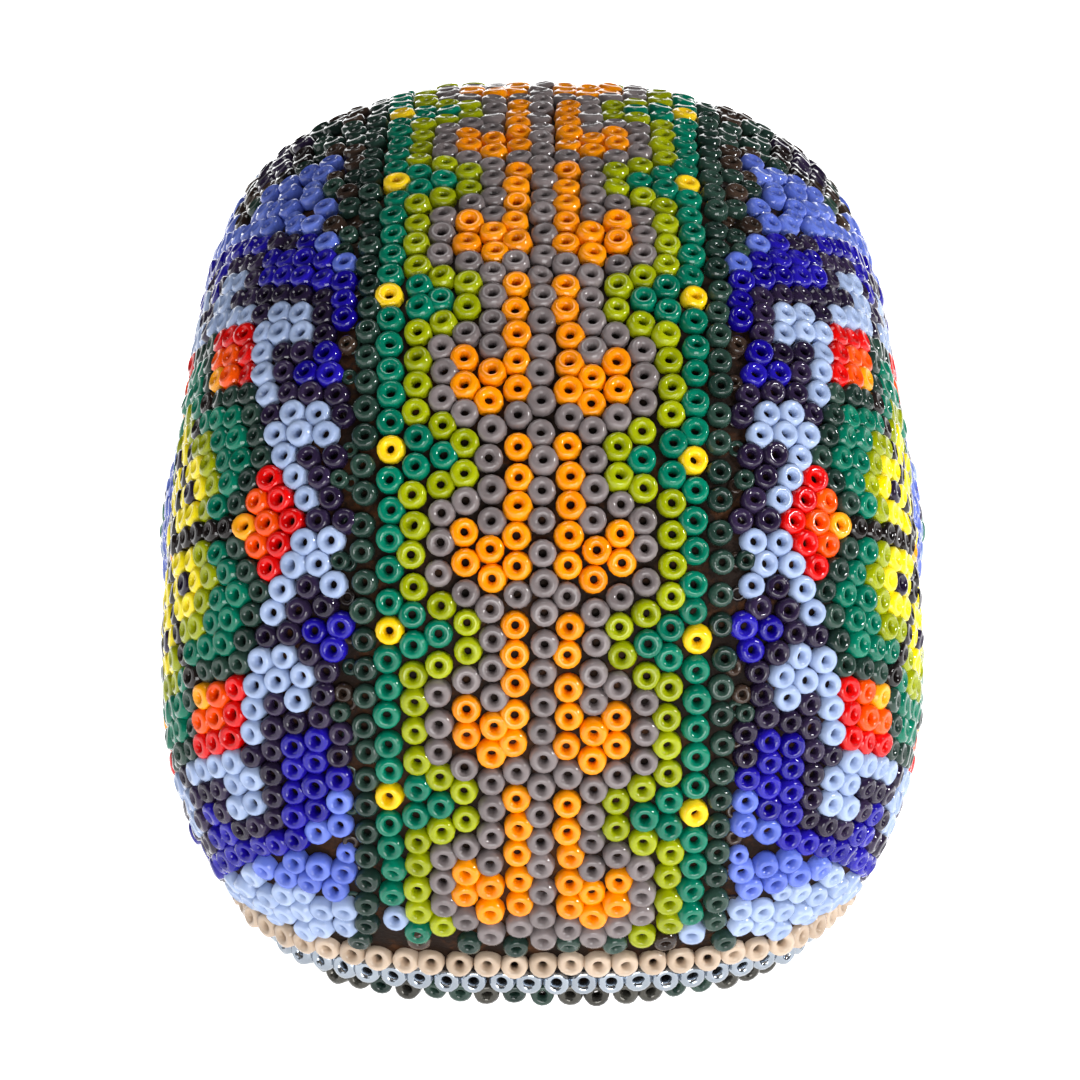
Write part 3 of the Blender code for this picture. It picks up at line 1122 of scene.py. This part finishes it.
@dataclass
class SidePanels:
    """The star on each side of the skull, mirrored from right to left.

    Attributes:
        middle: where its middle bead goes.
        spoke: angle of its first point above the level line to the back.
        star_rings: how many rings belong to the medallion; the rest to the field round it.
        clearance: least distance from its beads to those of the band.
        inner_edge: no bead of it lies nearer the middle plane than this.
        front_edge: no bead of it lies further forward than this.
    """

    bench: Bench
    areas: Areas
    middle: tuple[float, float, float] = (29.9, -22.4, 34.3)
    spoke: float = 33.0
    star_rings: int = 9
    clearance: float = 1.78
    inner_edge: float = 14.5
    front_edge: float = 20.0

    def lay(self) -> None:
        """Lays the right star where it has room, and its mirror image on the left."""
        form = self.bench.form
        points, glasses, rings = Star(form, self.middle, self.spoke, SIDE_STAR, Glass.AMBER).lay_out()
        clear = self.bench.room(points, self.bench.full_points()) > self.clearance
        kept = clear & (points[:, 0] > self.inner_edge) & (points[:, 1] < self.front_edge)
        for side, sign in (("right", 1), ("left", -1)):
            placed = flip(points[kept], sign)
            for point, glass, ring in zip(placed, np.array(glasses)[kept], rings[kept]):
                inner = ring <= self.star_rings
                name = "medallion_" + side if inner else self.areas.name(point)
                self.bench.lay([point], [glass], name)


@dataclass
class Face:
    """Teeth, nose hollow, eye sockets and the small stars of forehead and cheeks.

    Attributes:
        teeth_half_count: beads from the middle of the mouth to its corner.
        tooth_width: beads across a tooth and the dark line beside it.
        teeth_pitch: from one bead of a row to the next.
        teeth_rows: height of each row, from the lower teeth up.
        mouth_row: the row between the teeth, counted from 0.
        socket_threads: glass of each ring of an eye socket, from its middle out.
        socket_inner: how many of those rings lie inside the socket.
        nose_threads: glass of each ring of the nose hollow.
        nose_inner: how many of those lie inside it.
        ring_step: from one ring to the next.
        clearance: least distance from a bead of a ring or star to those laid before.
        forehead_middle: where the star on the forehead goes.
        cheek_middle: where the star on the right cheekbone goes.
    """

    bench: Bench
    areas: Areas
    teeth_half_count: int = 7
    tooth_width: int = 3
    teeth_pitch: float = PITCH + 0.04
    teeth_rows: tuple[float, ...] = (7.75, 9.85, 11.8, 13.75, 15.85)
    mouth_row: int = 2
    socket_threads: tuple[Glass, ...] = (
        Glass.BLACK, Glass.BLACK, Glass.RED, Glass.CORAL, Glass.YELLOW, Glass.BLACK, Glass.SKY,
    )  # fmt: skip
    socket_inner: int = 5
    nose_threads: tuple[Glass, ...] = (Glass.BLACK, Glass.BLACK, Glass.UMBER, Glass.ORANGE)
    nose_inner: int = 3
    ring_step: float = PITCH * 0.93
    clearance: float = PITCH * 0.8
    forehead_middle: tuple[float, float, float] = (0.0, 33.5, 52.5)
    cheek_middle: tuple[float, float, float] = (31.0, 17.5, 20.0)

    def lay(self) -> None:
        """Lays the face from the teeth up."""
        form = self.bench.form
        self._teeth()
        self._rings(form.nose, self.nose_threads, "nose_hollow", self.nose_inner, (1,))
        self._rings(form.eye, self.socket_threads, "eye_socket_", self.socket_inner, (1, -1))
        self._stars()

    def _teeth(self) -> None:
        """Two rows of lower teeth, the dark row of the mouth and two rows of upper teeth."""
        steps = np.arange(self.teeth_half_count + 1) * self.teeth_pitch
        for row, height in enumerate(self.teeth_rows):
            outline = self.bench.form.slice_z(height)
            right = outline[: len(outline) // 2 + 1][::-1]
            name = "upper_teeth" if row >= self.mouth_row else "lower_teeth"
            for number, place in enumerate(along(right, steps)):
                gap = number % self.tooth_width == 0 or row == self.mouth_row
                glass = Glass.BLACK if gap else Glass.IVORY
                mirrored = [place] if number == 0 else [place, flip(place, -1)]
                self.bench.lay(mirrored, [glass] * len(mirrored), name)

    def _rings(self, feature: Feature, threads: Sequence[Glass], name: str, inner: int,
               signs: Sequence[int]) -> None:
        """Rings of beads down the wall of a hollow, from its floor out to its rim.

        Args:
            feature: the hollow.
            threads: glass of each ring from the middle out.
            name: the field inside the hollow, before its side if it ends in an underscore.
            inner: how many rings lie inside.
            signs: which sides of the face it is on.
        """
        form = self.bench.form
        ramp = np.linspace(0.0, 2.0, 200)
        straight = form.front(feature.across + feature.half_width * ramp, np.full(200, feature.height))
        reach = np.concatenate([[0.0], np.cumsum(np.linalg.norm(np.diff(straight, axis=0), axis=1))])
        turns = np.linspace(0.0, 2 * math.pi, 361) + math.pi / 2
        for ring, glass in enumerate(threads):
            share = float(np.interp(ring * self.ring_step, reach, ramp))
            outline = form.front(
                feature.across + feature.half_width * share * np.cos(turns),
                feature.height + feature.half_height * share * np.sin(turns),
            )
            whole = length_of(outline)
            count = max(1, round(whole / PITCH))
            steps = (np.arange(count) + 0.5 * (ring % 2)) * whole / count
            points = along(outline, steps)
            points = points[self.bench.room(points) > self.clearance]
            for sign in signs:
                side = "right" if sign > 0 else "left"
                inside = name + side if name.endswith("_") else name
                for point in flip(points, sign):
                    piece = inside if ring < inner else self.areas.name(point)
                    self.bench.lay([point], [glass], piece)

    def _stars(self) -> None:
        """A small star on the forehead and one on each cheekbone."""
        form = self.bench.form
        forehead = Star(form, self.forehead_middle, 90.0, FACE_STAR, Glass.RED)
        cheek = Star(form, self.cheek_middle, 90.0, CHEEK_STAR, Glass.RED)
        for star, signs in ((forehead, (1,)), (cheek, (1, -1))):
            points, glasses, _ = star.lay_out()
            clear = self.bench.room(points) > self.clearance
            for sign in signs:
                for point, glass in zip(flip(points[clear], sign), np.array(glasses)[clear]):
                    self.bench.lay([point], [glass], self.areas.name(point))


@dataclass
class Filler:
    """Fills what is left, each new bead in the pit between two that are laid.

    Attributes:
        spacing: how close two whole beads may lie.
        rest: how far apart they are eased to.
        reach: beads this close count as neighbours then.
        rounds: how often they are eased.
        chip_spacing: how close the small beads picked out for the last gaps may lie.
        chip_size: width of those against a whole bead.
        grains: how many places are tried over the whole form.
        lowest: height of the lowest bead.
        dark_ahead: how far forward the dark field of the crown begins.
        dark_inner: how far out the first dark column there is.
        dark_step: from one dark column to the next.
        band_edge: how far out the band reaches.
        border_edge: how far out the dark border beside the band reaches.
        border_low: the height below which the blue fields meet the band.
        forehead_middle: the height at which the forehead changes colour.
        cheek_middle: the height at which the cheeks change colour.
        wave_low: the height at which the wavy lines of the temples end.
        wave_place: how far forward those lines are.
        wave_swing: how far they swing.
        wave_turns: how fast they swing with height, in radians a millimetre.
        wave_light: half the width of the light one.
        wave_dark: how far the dark one reaches ahead of the middle of the light one.
    """

    bench: Bench
    areas: Areas
    spacing: float = 1.97
    rest: float = 2.1
    reach: float = 1.15 * 2.1
    rounds: int = 14
    chip_spacing: float = 1.66
    chip_size: float = 0.8
    grains: int = 110_000
    lowest: float = ROWS_TOP + 0.7
    dark_ahead: float = -2.0
    dark_inner: float = 16.0
    dark_step: float = 1.9
    band_edge: float = 14.6
    border_edge: float = 17.0
    border_low: float = 20.0
    forehead_middle: float = 47.0
    cheek_middle: float = 20.0
    wave_low: float = 12.0
    wave_place: float = 13.0
    wave_swing: float = 2.2
    wave_turns: float = 0.55
    wave_light: float = 1.05
    wave_dark: float = 3.1

    def _places(self) -> Array:
        """Places spread evenly over the right half of the skin, in a golden spiral."""
        number = np.arange(self.grains) + 0.5
        turn = number * math.pi * (3 - math.sqrt(5))
        z = 1 - 2 * number / self.grains
        flat = np.sqrt(1 - z * z)
        ways = np.column_stack([np.cos(turn) * flat, np.sin(turn) * flat, z])
        ways = ways[(ways[:, 0] > 0) & (ways[:, 2] > -0.6)]
        points = self.bench.form.place(ways)
        return points[(points[:, 0] > self.spacing * 0.5) & (points[:, 2] > self.lowest)]

    def _middle_column(self) -> None:
        """One column of beads down the middle of the face, where the halves meet."""
        line = self.bench.form.slice_x(0.0, np.linspace(1.5, 3.7, 900))
        for point in along(line, np.arange(0.0, length_of(line), 0.3)):
            if self.bench.room(point[None])[0] > self.spacing:
                self.bench.lay([point], [self.paint(point)], self.areas.name(point))

    def _pits(self, places: Array, laid: Array, spacing: float) -> Array:
        """Picks places one by one, always where the next bead nests closest.

        Args:
            places: where beads may go.
            laid: the beads that are there.
            spacing: how close two beads may lie.

        Returns:
            The picked places.
        """
        nearest = np.full(len(places), 1e3)
        second = np.full(len(places), 1e3)
        picked: list[Array] = []
        waiting = list(laid)
        while True:
            for bead in waiting:
                gap = np.sqrt(((places - bead) ** 2).sum(1))
                second = np.minimum(second, np.maximum(nearest, gap))
                nearest = np.minimum(nearest, gap)
            score = np.where(nearest >= spacing, nearest + second, np.inf)
            best = int(np.argmin(score))
            if not np.isfinite(score[best]):
                return np.array(picked).reshape(-1, 3)
            picked.append(places[best])
            waiting = [places[best]]

    def _mirror(self, points: Array, size: float) -> None:
        """Lays beads on the right and their mirror images on the left."""
        for point in points:
            for placed in (point, flip(point, -1)):
                self.bench.lay([placed], [self.paint(placed)], self.areas.name(placed), size)

    def lay(self) -> None:
        """Fills both halves with whole beads, then the gaps with small ones."""
        self._middle_column()
        places = self._places()
        laid = self.bench.full_points()
        laid = laid[laid[:, 0] > -3 * PITCH]
        added = self._pits(places, laid, self.spacing)
        points = np.vstack([laid, added])
        gaps = np.linalg.norm(points[:, None] - points[None], axis=2)
        pairs = np.argwhere(np.triu(gaps < self.reach, 1))
        points = ease(self.bench.form, points, pairs, self.rest, self.rounds, len(laid), pull=False)
        self._mirror(points[len(laid) :], 1.0)
        chips = self._pits(places, points, self.chip_spacing)
        self._mirror(chips, self.chip_size)
        LOG.info("filled each side with %d beads and %d small ones", len(added), len(chips))

    def paint(self, point: Array) -> Glass:
        """The glass of a bead outside the patterns, by its field and place."""
        name = self.areas.name(point)
        across, y, z = abs(point[0]), point[1], point[2]
        swirl = math.sin(across * 1.7 + y * 2.3) + math.sin(z * 1.9 - y * 1.1)
        beside = across < self.border_edge and z > self.border_low
        if y < self.areas.face_rear and (beside or across < self.band_edge):
            return Glass.UMBER if swirl > 0 else Glass.PINE
        if name.startswith("crown_field") and y > self.dark_ahead:
            column = int((across - self.dark_inner) / self.dark_step)
            dark = (Glass.UMBER, Glass.PINE, Glass.BLACK, Glass.NAVY)
            return dark[(column + (swirl > 0.9)) % len(dark)]
        if name == "forehead":
            return Glass.COBALT if z > self.forehead_middle else Glass.PERIWINKLE
        if name.startswith("cheek"):
            return Glass.TEAL if z > self.cheek_middle else Glass.SKY
        return self._blue_waves(y, z)

    def _blue_waves(self, y: float, z: float) -> Glass:
        """Blues that lighten towards the base, with a light and a dark wavy line down each temple."""
        line = y - self.wave_place - self.wave_swing * math.sin(z * self.wave_turns)
        if z < self.wave_low or abs(line) < self.wave_light:
            return Glass.SKY
        return Glass.NAVY if 0.0 < line < self.wave_dark else Glass.PERIWINKLE


# ---------------------------------------------------------------- wax and core


@dataclass
class WaxCoat:
    """The wax that the beads stand in, raised a little between them.

    Attributes:
        depth: how far its surface lies below the tops of the beads.
        ripple: how far the kneading moves that surface in and out.
        wall: how thick the coat is.
        foot: how far above the table it ends.
        segments: faces round the ball that it is shaped from.
        rings: faces from that ball's top to its bottom.
    """

    bench: Bench
    finish: WaxFinish
    depth: float = 1.0
    ripple: float = 0.16
    wall: float = 1.6
    foot: float = 0.35
    segments: int = 220
    rings: int = 130

    def build(self) -> bpy.types.Object:
        """Shapes a ball onto the form, below the bead tops, and cuts it level at the base."""
        form = self.bench.form
        bpy.ops.object.select_all(action="DESELECT")
        bpy.ops.mesh.primitive_uv_sphere_add(segments=self.segments, ring_count=self.rings, radius=MM)
        wax = bpy.context.object
        wax.name = wax.data.name = "wax_coat_kneaded"
        ways = unit(np.array([corner.co for corner in wax.data.vertices]))
        points = form.place(ways)
        wave = np.sin(points[:, 0] * 2.1 + 1.0) * np.sin(points[:, 1] * 1.8) * np.sin(points[:, 2] * 2.4)
        sunk = points - ways * (self.depth + self.ripple * wave)[:, None]
        wax.data.vertices.foreach_set("co", (sunk * MM).astype(np.float32).ravel())
        bpy.ops.object.mode_set(mode="EDIT")
        bpy.ops.mesh.select_all(action="SELECT")
        bpy.ops.mesh.bisect(
            plane_co=(0.0, 0.0, self.foot * MM),
            plane_no=(0.0, 0.0, 1.0),
            clear_inner=True,
            use_fill=False,
        )
        bpy.ops.mesh.select_all(action="SELECT")
        bpy.ops.mesh.normals_make_consistent(inside=False)
        bpy.ops.object.mode_set(mode="OBJECT")
        wax.data.shade_smooth()
        self._thicken(wax)
        wax.data.materials.clear()
        wax.data.materials.append(self.finish.dress())
        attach(wax, BODY)
        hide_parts("wax_coat")
        LOG.info("%s: %d faces", wax.name, len(wax.data.polygons))
        return wax

    def _thicken(self, wax: bpy.types.Object) -> None:
        """Gives the coat its thickness, inwards."""
        wall = wax.modifiers.new("wall", "SOLIDIFY")
        wall.thickness = self.wall * MM
        wall.offset = -1.0
        bpy.context.view_layer.objects.active = wax
        bpy.ops.object.modifier_apply(modifier=wall.name)


def dress_core(core: bpy.types.Object, finish: CoreFinish) -> None:
    """Gives the core, seen only from below, its own finish."""
    core.data.materials.clear()
    core.data.materials.append(finish.dress())
    LOG.info("core: dressed")


# ---------------------------------------------------------------- stage


@dataclass(frozen=True)
class Lamp:
    """A square lamp aimed at the skull.

    Attributes:
        name: what it is for.
        place: its middle.
        size: its side.
        power: its power in watts.
    """

    name: str
    place: tuple[float, float, float]
    size: float
    power: float

    def hang(self, aim: Vector) -> None:
        """Hangs it in the scene, facing the aim."""
        light = bpy.data.lights.new(self.name, "AREA")
        light.size = self.size * MM
        light.energy = self.power
        made = bpy.data.objects.new(self.name, light)
        made.location = Vector(self.place) * MM
        made.rotation_euler = (aim - made.location).to_track_quat("-Z", "Y").to_euler()
        bpy.context.scene.collection.objects.link(made)


@dataclass
class Studio:
    """A glowing white table in a white room, soft lamps and the camera.

    Attributes:
        floor_size: side of the table.
        floor_white: how white the table is.
        floor_glow: how strongly it glows; the skull is lit from below by it.
        lens: focal length of the camera.
        shift: sideways shift of the lens, as a share of the frame.
        distance: from the camera to the aim.
        pitch: how far down the camera looks, in degrees.
        aim: what it looks at.
        wall_top: heights between which the white of the walls fades into the ceiling.
        ceiling: how light the ceiling is.
        room_strength: how strongly the room lights the skull.
        lamp_row: the lamps.
    """

    floor_size: float = 3000.0
    floor_white: float = 0.72
    floor_glow: float = 1.15
    lens: float = 157.4
    shift: float = -0.0022
    distance: float = 396.0
    pitch: float = 23.055
    aim: tuple[float, float, float] = (0.0, -5.08, 27.815)
    wall_top: tuple[float, float] = (0.12, 0.55)
    ceiling: float = 0.16
    room_strength: float = 0.32
    lamp_row: tuple[Lamp, ...] = (
        Lamp("key", (430.0, -190.0, 250.0), 75.0, 1.6),
        Lamp("overhead", (-40.0, 60.0, 520.0), 200.0, 0.6),
        Lamp("left_fill", (-420.0, -160.0, 160.0), 260.0, 0.3),
        Lamp("low_back", (60.0, -420.0, 24.0), 240.0, 1.5),
        Lamp("face_fill", (0.0, 400.0, 12.0), 360.0, 0.9),
    )

    def floor(self) -> bpy.types.Object:
        """The white table."""
        bpy.ops.object.select_all(action="DESELECT")
        bpy.ops.mesh.primitive_plane_add(size=self.floor_size * MM)
        table = bpy.context.object
        table.name = "white_table"
        graph = Graph("white_table")
        table.data.materials.append(
            graph.finish(
                Base_Color=(self.floor_white, self.floor_white, self.floor_white),
                Roughness=0.5,
                Emission_Color=(1.0, 1.0, 1.0),
                Emission_Strength=self.floor_glow,
            )
        )
        return table

    def lamps(self) -> None:
        """The lamps and the white room, in plain colours."""
        for lamp in self.lamp_row:
            lamp.hang(Vector(self.aim) * MM)
        world = bpy.data.worlds.new("white_room")
        world.use_nodes = True
        self._room(world.node_tree)
        bpy.context.scene.world = world
        bpy.context.scene.view_settings.view_transform = "Standard"

    def _room(self, tree: bpy.types.NodeTree) -> None:
        """White walls down to the table, under a dark ceiling."""
        place = tree.nodes.new("ShaderNodeTexCoord")
        parts = tree.nodes.new("ShaderNodeSeparateXYZ")
        ramp = tree.nodes.new("ShaderNodeValToRGB")
        ramp.color_ramp.elements[0].position = self.wall_top[0]
        ramp.color_ramp.elements[0].color = (1.0, 1.0, 1.0, 1.0)
        ramp.color_ramp.elements[1].position = self.wall_top[1]
        ramp.color_ramp.elements[1].color = (*[self.ceiling] * 3, 1.0)
        tree.links.new(place.outputs["Generated"], parts.inputs["Vector"])
        tree.links.new(parts.outputs["Z"], ramp.inputs["Fac"])
        tree.links.new(ramp.outputs["Color"], tree.nodes["Background"].inputs["Color"])
        tree.nodes["Background"].inputs["Strength"].default_value = self.room_strength

    def camera(self) -> None:
        """The camera behind and a little above the skull."""
        lens = bpy.data.cameras.new("camera")
        lens.lens = self.lens
        lens.sensor_width = 36.0
        lens.shift_x = self.shift
        lens.clip_start = 0.01
        made = bpy.data.objects.new("camera", lens)
        turn = math.radians(self.pitch)
        way = np.array([0.0, math.cos(turn), -math.sin(turn)])
        place = np.array(self.aim) - way * self.distance
        made.location = Vector(place) * MM
        made.rotation_euler = (math.pi / 2 - turn, 0.0, 0.0)
        bpy.context.scene.collection.objects.link(made)
        bpy.context.scene.camera = made


SINGLE_SLOTS = {
    "base_row_lower": "black_beads",
    "base_row_upper": "black_beads",
    "base_row_beige": "beige_beads",
    "centre_band": "band_beads",
    "forehead": "band_beads",
    "nose_hollow": "dark_beads",
    "upper_teeth": "tooth_beads",
    "lower_teeth": "tooth_beads",
}
PAIRED_SLOTS = {
    "border_column": "black_beads",
    "medallion": "star_beads",
    "side_field": "blue_beads",
    "crown_field": "dark_beads",
    "temple": "blue_beads",
    "cheek": "blue_beads",
    "eye_socket": "eye_beads",
}
SLOTS = SINGLE_SLOTS | {f"{name}_{side}": slot for name, slot in PAIRED_SLOTS.items() for side in SIDES}


def main() -> None:
    """Builds the skull's pieces, the stage, the lights and the camera."""
    logging.basicConfig(level=logging.INFO, format="%(message)s")
    for thing in list(bpy.data.objects):
        bpy.data.objects.remove(thing, do_unlink=True)
    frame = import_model()
    studio = Studio()
    studio.camera()
    form = SkullForm()
    bench = Bench(form, BeadShape())
    areas = Areas()
    BaseRows(bench).lay()
    CrownBand(bench).lay()
    SidePanels(bench, areas).lay()
    Face(bench, areas).lay()
    Filler(bench, areas).lay()
    pieces = bench.build(SLOTS)
    for node in SLOTS:
        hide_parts(node)
    WaxCoat(bench, WaxFinish()).build()
    dress_core(frame["nodes"]["core"], CoreFinish())
    studio.floor()
    studio.lamps()
    LOG.info("%d beads in %d pieces", len(bench.beads), len(pieces))


if __name__ == "__main__":
    main()
